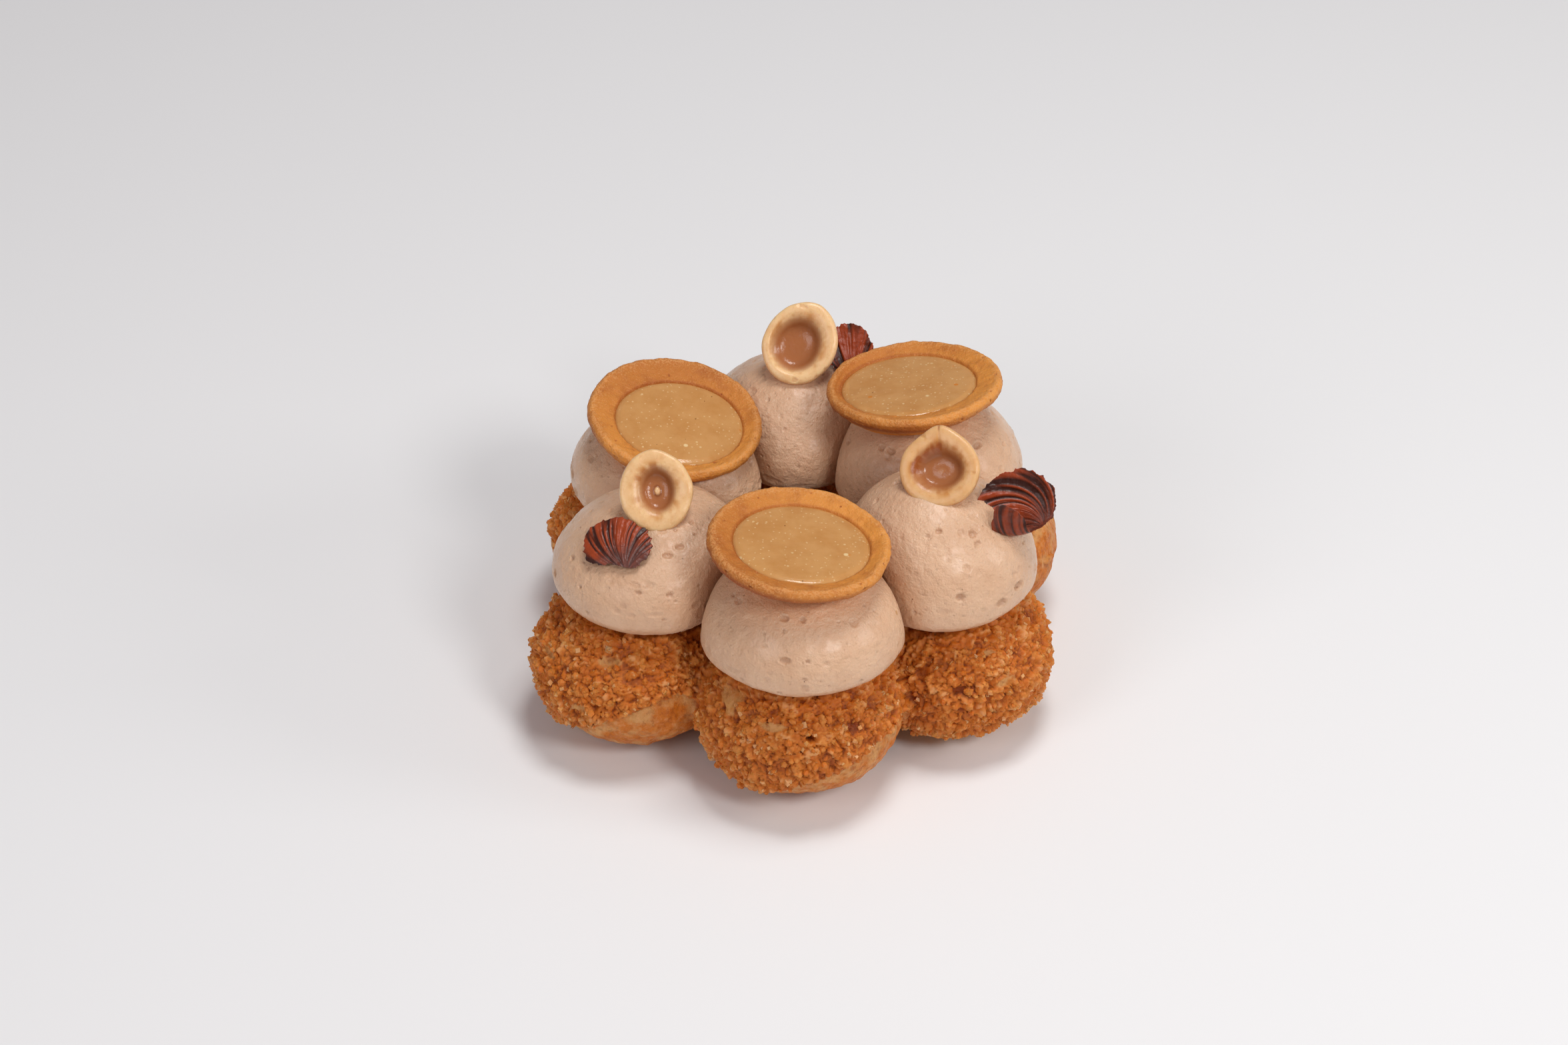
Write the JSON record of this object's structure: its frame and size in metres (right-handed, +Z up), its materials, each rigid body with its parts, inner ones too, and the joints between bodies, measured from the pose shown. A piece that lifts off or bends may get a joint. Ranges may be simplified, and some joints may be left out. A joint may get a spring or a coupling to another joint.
{
  "type": "paris-brest pastry",
  "caption": "Ring of joined round choux puffs with craggy sugar crust, each topped by a dome of praline cream, with praline tartlets or halved hazelnuts in turn.",
  "frame": {"origin": "middle of the whole's footprint, on the surface that the ring stands on", "axes": "+Z up out of the ring, -Y towards the puff with the front tartlet"},
  "size_m": [0.1114, 0.1164, 0.066],
  "materials": {
    "choux_crust": "baked choux under a craggy golden-brown sugar crust",
    "praline_cream": "satin beige praline cream with small air pits",
    "biscuit": "golden shortcrust, fine and sandy",
    "praline": "glossy caramel praline with tiny nut specks",
    "hazelnut": "roasted hazelnut, cream rim and browned cavity",
    "hazelnut_skin": "dark red-brown roasted skin with paler stripes"
  },
  "bodies": {
    "root": {"choux_ring": "choux_crust", "cream_front": "praline_cream", "cream_front_right": "praline_cream", "cream_back_right": "praline_cream", "cream_back": "praline_cream", "cream_back_left": "praline_cream", "cream_front_left": "praline_cream", "tartlet_front": "biscuit", "tartlet_back_right": "biscuit", "tartlet_back_left": "biscuit", "praline_front": "praline", "praline_back_right": "praline", "praline_back_left": "praline", "hazelnut_front_right": "hazelnut", "hazelnut_back": "hazelnut", "hazelnut_front_left": "hazelnut", "skin_front_right": "hazelnut_skin", "skin_back": "hazelnut_skin", "skin_front_left": "hazelnut_skin"}
  },
  "joints": []
}
